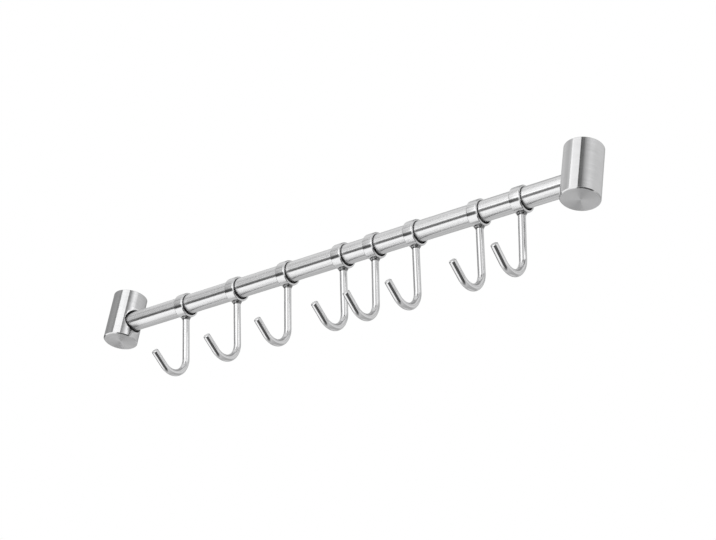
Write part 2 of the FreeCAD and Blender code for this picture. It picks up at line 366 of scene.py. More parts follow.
RAIL_SATIN = SteelFinish(
    name="satin_rail_steel", tint=(0.84, 0.84, 0.845),
    roughness=0.27, roughness_spread=0.03, anisotropy=0.92,
    line_pitch=0.09 * MM, line_length=9 * MM, shade_spread=0.025, line_depth=0.0006 * MM,
)
POST_TURNED = SteelFinish(
    name="turned_post_steel", tint=(0.71, 0.71, 0.715),
    roughness=0.14, roughness_spread=0.02, anisotropy=0.75,
    line_pitch=0.12 * MM, line_length=14 * MM, shade_spread=0.08, line_depth=0.001 * MM,
)
FACE_TURNED = SteelFinish(
    name="turned_face_steel", tint=(0.71, 0.71, 0.715),
    roughness=0.36, roughness_spread=0.04, anisotropy=0.9,
    line_pitch=0.16 * MM, line_length=12 * MM, shade_spread=0.05, line_depth=0.001 * MM,
)
RING_POLISH = SteelFinish(
    name="polished_ring_steel", tint=(0.77, 0.77, 0.775),
    roughness=0.20, roughness_spread=0.03, anisotropy=0.9,
    line_pitch=0.08 * MM, line_length=6 * MM, shade_spread=0.03, line_depth=0.0005 * MM,
)
WIRE_POLISH = SteelFinish(
    name="polished_wire_steel", tint=(0.76, 0.76, 0.765),
    roughness=0.15, roughness_spread=0.04, anisotropy=0.25,
    line_pitch=0.08 * MM, line_length=5 * MM, shade_spread=0.04, line_depth=0.0005 * MM, grain=Grain.ALONG,
)
WELD_SCALE = SteelFinish(
    name="scaled_weld_steel", tint=(0.28, 0.28, 0.282),
    roughness=0.17, roughness_spread=0.08, anisotropy=0.1,
    line_pitch=0.45 * MM, line_length=0.8 * MM, shade_spread=0.95, line_depth=0.04 * MM,
)
# The inside of the bores is rougher than the outside, which is real, but its very dark tint is painted
# shade: the shadow in the gap round the rail and in the mouths of the posts.
BORE_PAINTED_SHADE = SteelFinish(
    name="dull_bore_painted_shade_steel", tint=(0.16, 0.16, 0.163),
    roughness=0.55, roughness_spread=0.06, anisotropy=0.2,
    line_pitch=0.20 * MM, line_length=5 * MM, shade_spread=0.12, line_depth=0.004 * MM,
)
DISC_PLATED = SteelFinish(
    name="plated_disc_steel", tint=(0.66, 0.67, 0.69),
    roughness=0.34, roughness_spread=0.06, anisotropy=0.5,
    line_pitch=0.22 * MM, line_length=8 * MM, shade_spread=0.09, line_depth=0.004 * MM,
)
SCREW_STEEL = SteelFinish(
    name="plain_screw_steel", tint=(0.47, 0.47, 0.48),
    roughness=0.36, roughness_spread=0.07, anisotropy=0.2,
    line_pitch=0.10 * MM, line_length=3 * MM, shade_spread=0.10, line_depth=0.002 * MM,
)


@dataclass(frozen=True)
class Corner:
    """A corner of a turned outline, in millimetres: out from the axis, along it, and its rounding."""

    out: float
    along: float
    rounding: float = 0.0


def rounded(corners: Sequence[Corner], closed: bool, steps: int = 4) -> list[tuple[float, float]]:
    """Round the corners of an outline.

    Args:
        corners: The outline's corners in order.
        closed: Whether the last corner leads back to the first.
        steps: How many steps each rounding takes.

    Returns:
        The outline's points, each as out and along in millimetres.
    """
    spots = [Vector((corner.out, corner.along)) for corner in corners]
    points: list[tuple[float, float]] = []
    for number, corner in enumerate(corners):
        spot = spots[number]
        at_end = not closed and number in (0, len(corners) - 1)
        if corner.rounding <= 0 or at_end:
            points.append((spot.x, spot.y))
            continue
        back = (spots[number - 1] - spot).normalized()
        ahead = (spots[(number + 1) % len(spots)] - spot).normalized()
        half = back.angle(ahead) / 2
        reach = corner.rounding / math.tan(half)
        centre = spot + (back + ahead).normalized() * (corner.rounding / math.sin(half))
        start = spot + back * reach - centre
        turn = start.angle_signed(spot + ahead * reach - centre)
        for step in range(steps + 1):
            spoke = start.copy()
            spoke.rotate(Matrix.Rotation(-turn * step / steps, 2))
            points.append((centre.x + spoke.x, centre.y + spoke.y))
    return points


def divided(
    points: Sequence[tuple[float, float]], longest: float, closed: bool
) -> list[tuple[float, float]]:
    """Add points to an outline until no step is longer than a limit.

    Args:
        points: The outline's points.
        longest: The longest step, in millimetres.
        closed: Whether the last point leads back to the first.

    Returns:
        The outline with its added points.
    """
    finer: list[tuple[float, float]] = []
    for number, point in enumerate(points):
        finer.append(point)
        if not closed and number == len(points) - 1:
            break
        following = points[(number + 1) % len(points)]
        count = math.ceil(math.dist(point, following) / longest)
        for step in range(1, count):
            share = step / count
            finer.append(tuple(a + (b - a) * share for a, b in zip(point, following)))
    return finer


class LoopStack:
    """Loops of points, one after another, that become the skin of a round piece."""

    def __init__(self, around: int) -> None:
        """Start an empty stack.

        Args:
            around: How many points each loop has.
        """
        self.around = around
        self.loops: list[list[Vector]] = []

    def turns(self) -> list[float]:
        """The angle of each point of a loop."""
        return [math.tau * number / self.around for number in range(self.around)]

    def add(self, place: Callable[[float], Sequence[float]]) -> None:
        """Add a loop.

        Args:
            place: Gives the point, in millimetres, at an angle of the loop.
        """
        self.loops.append([Vector(place(turn)) * MM for turn in self.turns()])

    def turned(self, outline: Iterable[tuple[float, float]], axis: Axis) -> "LoopStack":
        """Add a loop for each point of an outline that is turned about an axis.

        Args:
            outline: Points, each as out and along in millimetres.
            axis: The axis of turning.

        Returns:
            This stack.
        """
        for out, along in outline:
            if axis is Axis.Z:
                self.add(lambda turn: (out * math.cos(turn), out * math.sin(turn), along))
            else:
                self.add(lambda turn: (along, out * math.cos(turn), out * math.sin(turn)))
        return self

    def mesh(self, name: str, closing: Closing) -> bpy.types.Mesh:
        """Join the loops into a smooth closed skin with a wrap of its surface.

        Args:
            name: The mesh's name.
            closing: How the ends are closed.

        Returns:
            The mesh.
        """
        count = self.around
        points = [point for loop in self.loops for point in loop]
        ways = [0.0]
        pairs = list(zip(self.loops, self.loops[1:]))
        if closing is Closing.TUBE:
            pairs.append((self.loops[-1], self.loops[0]))
        for first, second in pairs:
            ways.append(ways[-1] + sum((a - b).length for a, b in zip(first, second)) / count)
        faces: list[tuple[int, ...]] = []
        wraps: list[tuple[float, float]] = []
        for row in range(len(pairs)):
            near, far = row * count, (row + 1) % len(self.loops) * count
            for step in range(count):
                after = (step + 1) % count
                faces.append((near + step, near + after, far + after, far + step))
                left, right = step / count, (step + 1) / count
                here, there = ways[row], ways[row + 1]
                wraps += [(left, here), (right, here), (right, there), (left, there)]
        if closing is Closing.CAPPED:
            for loop, start, way, sign in (
                (self.loops[0], 0, ways[0], -1),
                (self.loops[-1], (len(self.loops) - 1) * count, ways[-1], 1),
            ):
                centre = sum(loop, Vector()) / count
                points.append(centre)
                radius = sum((point - centre).length for point in loop) / count
                for step in range(count):
                    faces.append((start + step, start + (step + 1) % count, len(points) - 1))
                    left, right = step / count, (step + 1) / count
                    wraps += [(left, way), (right, way), ((left + right) / 2, way + sign * radius)]
        mesh = bpy.data.meshes.new(name)
        mesh.from_pydata(points, [], faces)
        layer = mesh.uv_layers.new(name=WRAP)
        layer.data.foreach_set("uv", [part for wrap in wraps for part in wrap])
        draft = bmesh.new()
        draft.from_mesh(mesh)
        bmesh.ops.recalc_face_normals(draft, faces=draft.faces)
        for face in draft.faces:
            face.smooth = True
        draft.to_mesh(mesh)
        draft.free()
        return mesh


def settle(piece: bpy.types.Object) -> None:
    """Apply a piece's modifiers to its mesh.

    Args:
        piece: The piece, which keeps its place.
    """
    bpy.context.view_layer.update()
    graph = bpy.context.evaluated_depsgraph_get()
    draft = piece.data
    piece.data = bpy.data.meshes.new_from_object(
        piece.evaluated_get(graph), preserve_all_data_layers=True, depsgraph=graph
    )
    piece.modifiers.clear()
    name = draft.name
    bpy.data.meshes.remove(draft)
    piece.data.name = name


def new_piece(mesh: bpy.types.Mesh, place: Matrix) -> bpy.types.Object:
    """Put a mesh into the scene.

    Args:
        mesh: The mesh.
        place: Where its own origin goes.

    Returns:
        The new object.
    """
    piece = bpy.data.objects.new(mesh.name, mesh)
    bpy.context.scene.collection.objects.link(piece)
    piece.matrix_world = place
    return piece


def carve(piece: bpy.types.Object, cutter: bpy.types.Mesh) -> None:
    """Cut a shape out of a piece.

    Args:
        piece: The piece that is cut.
        cutter: The shape, in the piece's own frame, which is used up.
    """
    tool = new_piece(cutter, piece.matrix_world)
    cut = piece.modifiers.new("cut", "BOOLEAN")
    cut.operation = "DIFFERENCE"
    cut.solver = "EXACT"
    cut.object = tool
    settle(piece)
    bpy.data.objects.remove(tool)
    bpy.data.meshes.remove(cutter)


def dress(piece: bpy.types.Object, material: bpy.types.Material, body: str, node: str) -> None:
    """Give a piece its finish and even shading, and let it stand for its solid.

    Args:
        piece: The piece.
        material: Its finish.
        body: The body that it moves with.
        node: The solid that it replaces.
    """
    shading = piece.modifiers.new("even_shading", "WEIGHTED_NORMAL")
    shading.keep_sharp = True
    settle(piece)
    piece.data.materials.clear()
    piece.data.materials.append(material)
    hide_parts(node)
    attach(piece, body)


def refinish(
    piece: bpy.types.Object, finish: SteelFinish, girth: float, chosen: Callable[[Vector], bool]
) -> None:
    """Give some faces of a piece a finish of their own.

    Args:
        piece: The dressed piece.
        finish: The finish.
        girth: The girth of the faces that take it.
        chosen: Tells whether a face takes it, from the face's centre in the piece's own frame.
    """
    piece.data.materials.append(finish.material(girth))
    slot = len(piece.data.materials) - 1
    for face in piece.data.polygons:
        if chosen(face.center):
            face.material_index = slot


@dataclass
class RailTube:
    """The straight tube whose ends stand in the bores of the posts. Sizes in millimetres."""

    diameter: float = 16.0
    wall: float = 1.2
    length: float = 471.0
    drop: float = 26.7
    edge: float = 0.3
    around: int = 160
    longest_step: float = 15.0

    def build(self) -> list[bpy.types.Object]:
        """Build and dress the tube.

        Returns:
            The tube alone.
        """
        outer, half = self.diameter / 2, self.length / 2
        inner = outer - self.wall
        corners = [
            Corner(outer, -half, self.edge), Corner(outer, half, self.edge),
            Corner(inner, half, self.edge), Corner(inner, -half, self.edge),
        ]
        outline = divided(rounded(corners, True), self.longest_step, True)
        mesh = LoopStack(self.around).turned(outline, Axis.X).mesh("steel_rail", Closing.TUBE)
        piece = new_piece(mesh, Matrix.Translation((0, 0, -self.drop * MM)))
        dress(piece, RAIL_SATIN.material(math.pi * self.diameter * MM), FIXED_BODY, "rail_tube")
        return [piece]


@dataclass
class GrubScrew:
    """A threaded grub screw with a hexagon socket, drawn upright on its point. Sizes in millimetres."""

    diameter: float
    length: float
    pitch: float
    socket: float
    point: Point
    socket_depth: float = 2.0
    socket_rim: float = 1.06
    rim_depth: float = 0.08
    drill_share: float = 0.55
    drill_depth: float = 0.1
    end_chamfer: float = 0.3
    point_chamfer: float = 0.5
    cone_tip: float = 0.12
    cone_share: float = 0.75
    thread_depth: float = 0.6
    ridge_slope: float = 1.6
    around: int = 48
    steps_per_turn: int = 8

    def thread_radius(self, along: float, turn: float) -> float:
        """How far out the thread stands.

        Args:
            along: The height above the point.
            turn: The angle round the axis.

        Returns:
            The radius in millimetres.
        """
        depth = self.thread_depth * self.pitch
        phase = (along / self.pitch - turn / math.tau) % 1.0
        ridge = min(1.0, self.ridge_slope * abs(2 * phase - 1))
        return self.diameter / 2 - depth * (1 - ridge)

    def socket_radius(self, turn: float) -> float:
        """How far out the hexagon's wall stands at an angle."""
        return self.socket / 2 / math.cos((turn + math.pi / 6) % (math.pi / 3) - math.pi / 6)

    def mesh(self, name: str) -> bpy.types.Mesh:
        """Build the screw from its point to the floor of its socket.

        Args:
            name: The mesh's name.

        Returns:
            The mesh.
        """
        stack = LoopStack(self.around)
        radius = self.diameter / 2

        def level(out: Callable[[float], float], along: float) -> None:
            """Add a loop at one height."""
            stack.add(lambda turn: (out(turn) * math.cos(turn), out(turn) * math.sin(turn), along))

        if self.point is Point.CONE:
            start = radius * self.cone_share
            level(lambda turn: self.cone_tip, 0.0)
            level(lambda turn: start, start)
        else:
            start = self.point_chamfer
            level(lambda turn: radius - 2 * start, 0.0)
            level(lambda turn: radius - start, 0.0)
        top = self.length - self.end_chamfer
        count = round((top - start) / self.pitch * self.steps_per_turn)
        for step in range(count + 1):
            along = start + (top - start) * step / count
            limit = min(radius, start + along) if self.point is Point.CONE else radius
            level(lambda turn: min(limit, self.thread_radius(along, turn)), along)
        level(lambda turn: radius - 2 * self.end_chamfer, self.length)
        level(lambda turn: self.socket_radius(turn) * self.socket_rim, self.length)
        level(self.socket_radius, self.length - self.rim_depth)
        socket_floor = self.length - self.socket_depth
        level(self.socket_radius, socket_floor)
        level(lambda turn: self.socket / 2 * self.drill_share, socket_floor - self.drill_depth)
        return stack.mesh(name, Closing.CAPPED)


@dataclass
class EndPost:
    """A turned post with its mounting disc and grub screws. Sizes in millimetres."""

    side: Side
    spacing: float = 460.0
    diameter: float = 29.0
    length: float = 43.0
    rail_drop: float = 26.7
    rail_bore: float = 17.4
    bore_reach: float = 6.0
    mouth_break: float = 1.2
    recess_diameter: float = 21.2
    recess_depth: float = 8.0
    cap_chamfer: float = 0.75
    chamfer_edge: float = 0.12
    rim_edge: float = 0.3
    clamp_hole: float = 5.1
    clamp_hole_end: float = 4.0
    lock_hole: float = 4.1
    lock_break: float = 0.25
    centre_pip: float = 0.4
    recess_edge: float = 0.3
    mouth_edge: float = 0.25
    cap_margin: float = 0.01
    longest_step: float = 4.0
    disc_diameter: float = 21.0
    disc_thickness: float = 7.0
    groove_depth: float = 1.2
    screw_hole: float = 4.5
    countersink: float = 9.0
    disc_edge: float = 0.2
    disc_back_edge: float = 0.4
    countersink_edge: float = 0.15
    slight_edge: float = 0.1
    lock_start: float = 9.35
    clamp_start: float = 18.65
    disc_step: float = 2.0
    around: int = 192
    disc_around: int = 128
    bore_around: int = 96
    lock_around: int = 64
    bore_overrun: float = 1.2
    lock_overrun: float = 1.0

    @property
    def label(self) -> str:
        """The side's name, as the pieces carry it."""
        return self.side.name.lower()

    @property
    def place(self) -> Matrix:
        """The post's axis on the mounting plane."""
        return Matrix.Translation((self.side.value * self.spacing / 2 * MM, 0, 0))

    def bore_cutter(self) -> bpy.types.Mesh:
        """The blind bore for the rail, with its mouth broken along the post's round side."""
        stack = LoopStack(self.bore_around)
        radius, bore, inward = self.diameter / 2, self.rail_bore / 2, -self.side.value
        wide, overrun = bore + self.mouth_break, self.bore_overrun

        def skin(across: float) -> float:
            """How far from the post's axis its round side is, at a distance across."""
            return math.sqrt(radius**2 - across**2)

        def loop(out: float, depth: Callable[[float], float]) -> None:
            """Add a loop of the bore, at a depth from the post's axis for each distance across."""
            def place(turn: float) -> tuple[float, float, float]:
                """The point at an angle."""
                across = out * math.cos(turn)
                return (inward * depth(across), across, out * math.sin(turn) - self.rail_drop)
            stack.add(place)

        loop(wide + overrun, lambda across: skin(across * wide / (wide + overrun)) + overrun)
        loop(bore, lambda across: skin(across) - self.mouth_break)
        loop(bore, lambda across: -self.bore_reach)
        return stack.mesh("bore", Closing.CAPPED)

    def lock_cutter(self) -> bpy.types.Mesh:
        """The tapped hole of the lock screw in the back of the post, with its edge broken."""
        stack = LoopStack(self.lock_around)
        radius, hole, edge = self.diameter / 2, self.lock_hole / 2, self.lock_break
        middle, overrun = self.disc_thickness / 2, self.lock_overrun

        def loop(out: float, depth: float) -> None:
            """Add a loop of the hole."""
            stack.add(lambda turn: (out * math.cos(turn), depth, out * math.sin(turn) - middle))

        loop(hole + edge + overrun, radius + overrun)
        loop(hole, radius - edge)
        loop(hole, self.disc_diameter / 2 - overrun)
        return stack.mesh("lock_hole", Closing.CAPPED)

    def build_bar(self) -> bpy.types.Object:
        """Build the turned bar with its recess, bore and tapped holes.

        Returns:
            The bar.
        """
        radius, recess, hole = self.diameter / 2, self.recess_diameter / 2, self.clamp_hole / 2
        inside = self.rail_drop - self.clamp_hole_end
        corners = [
            Corner(self.centre_pip, -inside), Corner(hole, -inside),
            Corner(hole, -self.recess_depth, self.recess_edge),
            Corner(recess, -self.recess_depth, self.recess_edge),
            Corner(recess, 0, self.mouth_edge), Corner(radius, 0, self.rim_edge),
            Corner(radius, self.cap_chamfer - self.length, self.chamfer_edge),
            Corner(radius - self.cap_chamfer, -self.length, self.chamfer_edge),
            Corner(self.centre_pip, -self.length),
        ]
        outline = divided(rounded(corners, False), self.longest_step, False)
        stack = LoopStack(self.around).turned(outline, Axis.Z)
        piece = new_piece(stack.mesh(f"{self.label}_turned_post", Closing.CAPPED), self.place)
        carve(piece, self.bore_cutter())
        carve(piece, self.lock_cutter())
        dress(piece, POST_TURNED.material(math.pi * self.diameter * MM), FIXED_BODY, f"{self.label}_post")
        reach = (self.rail_bore / 2 + self.mouth_break + FACE_MARGIN) * MM
        skin = (radius - 2 * FACE_MARGIN) * MM
        # The bore and its broken mouth take the dark bore finish, which paints the shadow round the rail's
        # end.
        refinish(
            piece, BORE_PAINTED_SHADE, math.pi * self.rail_bore * MM,
            lambda spot: math.hypot(spot.y, spot.z + self.rail_drop * MM) < reach and spot.xy.length < skin,
        )
        cap = (self.cap_margin - self.length) * MM
        refinish(piece, FACE_TURNED, math.pi * radius * MM, lambda spot: spot.z < cap)
        return piece

    def build_disc(self) -> bpy.types.Object:
        """Build the countersunk mounting disc with the groove that the lock screw holds.

        Returns:
            The disc.
        """
        radius, hole, sink = self.disc_diameter / 2, self.screw_hole / 2, self.countersink / 2
        middle, groove = self.disc_thickness / 2, self.groove_depth
        corners = [
            Corner(hole, 0, self.disc_edge), Corner(radius, 0, self.disc_back_edge),
            Corner(radius, groove - middle, self.slight_edge),
            Corner(radius - groove, -middle, self.slight_edge),
            Corner(radius, -groove - middle, self.slight_edge),
            Corner(radius, -self.disc_thickness, self.disc_edge),
            Corner(sink, -self.disc_thickness, self.countersink_edge),
            Corner(hole, sink - hole - self.disc_thickness, self.slight_edge),
        ]
        outline = divided(rounded(corners, True), self.disc_step, True)
        stack = LoopStack(self.disc_around).turned(outline, Axis.Z)
        piece = new_piece(stack.mesh(f"{self.label}_countersunk_disc", Closing.TUBE), self.place)
        finish = DISC_PLATED.material(math.pi * self.disc_diameter * MM)
        dress(piece, finish, FIXED_BODY, f"{self.label}_mounting_disc")
        return piece

    def build_screws(self) -> list[bpy.types.Object]:
        """Build the lock screw in the post's back and the clamp screw above the rail.

        Returns:
            The two screws.
        """
        lock = GrubScrew(diameter=4.0, length=4.65, pitch=0.7, socket=2.0, point=Point.CONE)
        clamp = GrubScrew(diameter=5.0, length=10.15, pitch=0.8, socket=2.5, point=Point.FLAT)
        upright = Matrix.Translation((0, 0, -self.clamp_start * MM))
        lying = Matrix.Translation((0, self.lock_start * MM, -self.disc_thickness / 2 * MM))
        lying = lying @ Euler((-math.pi / 2, 0, 0)).to_matrix().to_4x4()
        pieces = []
        for screw, kind, stand in ((lock, "lock", lying), (clamp, "clamp", upright)):
            piece = new_piece(screw.mesh(f"{self.label}_{kind}_grub"), self.place @ stand)
            finish = SCREW_STEEL.material(math.pi * screw.diameter * MM)
            dress(piece, finish, FIXED_BODY, f"{self.label}_{kind}_screw")
            pieces.append(piece)
        return pieces

    def build(self) -> list[bpy.types.Object]:
        """The post's pieces, built in order."""
        return [self.build_bar(), self.build_disc(), *self.build_screws()]


# How far the friction of its ring on the rail holds each hook off plumb, in degrees
HOOKS_OFF_PLUMB = (3.2, 3.2, 1.9, 2.8, 1.6, 2.8, 1.9, -1.0)


@dataclass
class UtensilHook:
    """A hook: a loose ring on the rail with a bent wire welded under it. Sizes in millimetres."""

    number: int
    off_plumb: float
    ring_drop: float = 27.4
    ring_diameter: float = 20.6
    ring_bore: float = 17.6
    ring_width: float = 9.0
    ring_edge: float = 0.8
    bore_edge: float = 0.2
    ring_crown: float = 0.1
    crown_steps: int = 4
    ring_step: float = 1.5
    wire_diameter: float = 5.68
    shank_length: float = 35.2
    bend_radius: float = 14.6
    bend_angle: float = 133.8
    tip_length: float = 14.6
    tip_edge: float = 0.5
    tip_lead: float = 0.1
    # The broken edge of the tip, each loop as its distance back from the end and in from the side
    tip_edge_loops: tuple[tuple[float, float], ...] = ((0.48, 0.05), (0.05, 0.48), (0.0, 0.58))
    # The flat tip and the saddle of the weld, each loop as a share of the radius there
    tip_shares: tuple[float, ...] = (0.7, 0.4, 0.15)
    saddle_shares: tuple[float, ...] = (0.3, 0.65, 0.92)
    weld_flare: float = 1.1
    weld_height: float = 2.8
    weld_clearance: float = 0.1
    weld_scales: int = 13
    scale_height: float = 0.05
    scale_twist: float = 4.0
    bead_swell: float = 0.18
    bead_reach: float = 1 / 2.2
    scale_reach: float = 1 / 1.5
    weld_finish_share: float = 0.8
    weld_steps: int = 10
    shank_steps: int = 8
    bend_steps: int = 48
    leg_steps: int = 4
    ring_around: int = 128
    wire_around: int = 44

    @property
    def centre(self) -> Matrix:
        """The ring's centre, at the place of its solid on the rail."""
        low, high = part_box(f"hook_{self.number}_ring")
        return Matrix.Translation(((low[0] + high[0]) / 2, 0, -self.ring_drop * MM))

    @property
    def shank_end(self) -> float:
        """How far below the ring's centre the shank turns into the bend."""
        return self.ring_diameter / 2 + self.shank_length

    @property
    def lean(self) -> float:
        """The angle at which the wire rests: plumb under the ring, but for the friction there."""
        bend, tip, top = self.bend_radius, self.tip_length, self.ring_diameter / 2
        turn = math.radians(self.bend_angle)
        sine, cosine = math.sin(turn), math.cos(turn)
        outward = bend**2 * (turn - sine) + tip * (bend * (1 - cosine) + tip / 2 * sine)
        downward = (
            (self.shank_end**2 - top**2) / 2 + bend * turn * self.shank_end + bend**2 * (1 - cosine)
            + tip * (self.shank_end + bend * sine) + tip**2 / 2 * cosine
        )
        return math.atan2(outward, downward) + math.radians(self.off_plumb)

    def build_ring(self) -> bpy.types.Object:
        """Build the ring, whose outside is slightly crowned.

        Returns:
            The ring.
        """
        outer, bore, half = self.ring_diameter / 2, self.ring_bore / 2, self.ring_width / 2
        corners = []
        for step in range(-self.crown_steps, self.crown_steps + 1):
            share = step / self.crown_steps
            edge = self.ring_edge if abs(share) == 1 else 0.0
            corners.append(Corner(outer - self.ring_crown * share**2, half * share, edge))
        corners += [Corner(bore, half, self.bore_edge), Corner(bore, -half, self.bore_edge)]
        outline = divided(rounded(corners, True), self.ring_step, True)
        stack = LoopStack(self.ring_around).turned(outline, Axis.X)
        piece = new_piece(stack.mesh(f"hook_{self.number}_crowned_ring", Closing.TUBE), self.centre)
        finish = RING_POLISH.material(math.pi * self.ring_diameter * MM)
        dress(piece, finish, f"hook_{self.number}_slider", f"hook_{self.number}_ring")
        reach = (bore + FACE_MARGIN) * MM
        bore_girth = math.pi * self.ring_bore * MM
        # The bore takes the dark bore finish, which paints the shadow in the gap between ring and rail.
        refinish(piece, BORE_PAINTED_SHADE, bore_girth, lambda spot: math.hypot(spot.y, spot.z) < reach)
        return piece

    def weld_loops(self, stack: LoopStack) -> None:
        """Add the weld between ring and wire: a saddle on the ring and a rippled flare below it.

        Args:
            stack: The wire's loops, which are still empty.
        """
        saddle = self.ring_diameter / 2 + self.weld_clearance
        wire, foot = self.wire_diameter / 2, self.ring_diameter / 2 + self.weld_height
        flare = wire + self.weld_flare

        def drop(across: float) -> float:
            """How far below the ring's centre the saddle is, at a distance from its middle."""
            return math.sqrt(saddle**2 - across**2)

        def loop(out: Callable[[float], float], lower: float) -> None:
            """Add a loop between the saddle, at nothing, and the foot of the flare, at one."""
            def place(turn: float) -> tuple[float, float, float]:
                """The point at an angle."""
                x, y = out(turn) * math.cos(turn), out(turn) * math.sin(turn)
                return (x, y, -(drop(y) * (1 - lower) + foot * lower))
            stack.add(place)

        def hump(lower: float, reach: float) -> float:
            """A smooth hump between the saddle and a reach below it."""
            return math.sin(math.pi * min(1.0, lower / reach))

        for share in self.saddle_shares:
            loop(lambda turn: flare * share, 0.0)
        for step in range(self.weld_steps + 1):
            lower = step / self.weld_steps
            bead = self.bead_swell * hump(lower, self.bead_reach)
            out = wire + self.weld_flare * ((1 - lower) ** 2 + bead)
            ripple, twist = self.scale_height * hump(lower, self.scale_reach), self.scale_twist * lower
            loop(lambda turn: out + ripple * math.cos(self.weld_scales * turn + twist), lower)

    def build_wire(self) -> bpy.types.Object:
        """Build the wire: weld, straight shank, round bend and open leg with a broken tip.

        Returns:
            The wire.
        """
        stack = LoopStack(self.wire_around)
        self.weld_loops(stack)
        radius, edge = self.wire_diameter / 2, self.tip_edge

        def loop(y: float, z: float, turn_of_path: float, out: float) -> None:
            """Add a loop across the path, which has turned by an angle from straight down."""
            outward = (-math.cos(turn_of_path), math.sin(turn_of_path))
            stack.add(lambda turn: (
                out * math.cos(turn),
                y - out * math.sin(turn) * outward[0],
                z - out * math.sin(turn) * outward[1],
            ))

        start = self.ring_diameter / 2 + self.weld_height
        for step in range(1, self.shank_steps + 1):
            loop(0, -(start + (self.shank_end - start) * step / self.shank_steps), 0.0, radius)

        def bent(part: float) -> tuple[float, float]:
            """The place on the bend, as y and z, after a part of its turn."""
            bend = self.bend_radius
            return (-bend * (1 - math.cos(part)), -self.shank_end - bend * math.sin(part))

        turn = math.radians(self.bend_angle)
        for step in range(1, self.bend_steps + 1):
            part = turn * step / self.bend_steps
            loop(*bent(part), part, radius)
        foot, ahead = bent(turn), (-math.sin(turn), -math.cos(turn))

        def leg(way: float, out: float) -> None:
            """Add a loop at a distance along the open leg."""
            loop(foot[0] + ahead[0] * way, foot[1] + ahead[1] * way, turn, out)

        straight = self.tip_length - edge - self.tip_lead
        for step in range(1, self.leg_steps + 1):
            leg(straight * step / self.leg_steps, radius)
        for back, inset in self.tip_edge_loops:
            leg(self.tip_length - back, radius - inset)
        for share in self.tip_shares:
            leg(self.tip_length, (radius - edge) * share)
        mesh = stack.mesh(f"hook_{self.number}_bent_wire", Closing.CAPPED)
        mesh.transform(Matrix.Rotation(self.lean, 4, "X"))
        piece = new_piece(mesh, self.centre)
        finish = WIRE_POLISH.material(math.pi * self.wire_diameter * MM)
        dress(piece, finish, f"hook_{self.number}_swinger", f"hook_{self.number}_wire")
        upright = Matrix.Rotation(-self.lean, 4, "X")
        weld_foot = -(self.ring_diameter / 2 + self.weld_finish_share * self.weld_height) * MM
        weld_girth = math.pi * (self.wire_diameter + self.weld_flare) * MM
        refinish(piece, WELD_SCALE, weld_girth, lambda spot: (upright @ spot).z > weld_foot)
        return piece

    def build(self) -> list[bpy.types.Object]:
        """The ring and its wire."""
        return [self.build_ring(), self.build_wire()]


@dataclass
class SoftLamp:
    """A rectangle of soft light. Metres, with the brightness that a mirror would show."""

    name: str
    place: tuple[float, float, float]
    aim: tuple[float, float, float]
    width: float
    height: float
    brightness: float
    mirrored: bool = True

    def build(self) -> None:
        """Hang the lamp and turn it to its aim."""
        light = bpy.data.lights.new(self.name, "AREA")
        light.shape = "RECTANGLE"
        light.size, light.size_y = self.width, self.height
        light.energy = WATTS_PER_LEVEL * self.brightness * self.width * self.height
        lamp = bpy.data.objects.new(self.name, light)
        bpy.context.scene.collection.objects.link(lamp)
        lamp.location = self.place
        lamp.rotation_euler = (Vector(self.aim) - Vector(self.place)).to_track_quat("-Z", "Y").to_euler()
        lamp.visible_glossy = self.mirrored


PANELS = (
    SoftLamp(
        "front_panel", place=(-0.01, -1.05, 0.64), aim=(-0.01, 0, 0.64),
        width=1.02, height=0.72, brightness=0.8,
    ),
    SoftLamp(
        "low_panel", place=(0.0, -1.05, 0.06), aim=(0.0, 0, 0.06),
        width=0.9, height=0.5, brightness=0.85,
    ),
    SoftLamp(
        "top_panel", place=(-0.2, 0.3, 1.6), aim=(0, 0, 0),
        width=1.6, height=1.6, brightness=0.9, mirrored=False,
    ),
)


@dataclass(frozen=True)
class RoundField:
    """A round field of the sky, fading in from its rim to its core. Degrees from its middle."""

    middle: tuple[float, float, float]
    rim: float
    core: float

    def share(self, board: NodeBoard, way: Sequence[bpy.types.NodeSocket]) -> bpy.types.NodeSocket:
        """How far a direction lies in the field.

        Args:
            board: The world's nodes.
            way: The direction's three parts.

        Returns:
            The share's socket.
        """
        east, north, up = [board.product(part, size) for part, size in zip(way, self.middle)]
        along = board.math("ADD", board.math("ADD", east, north), up)
        return board.span(along, math.cos(math.radians(self.rim)), math.cos(math.radians(self.core)))


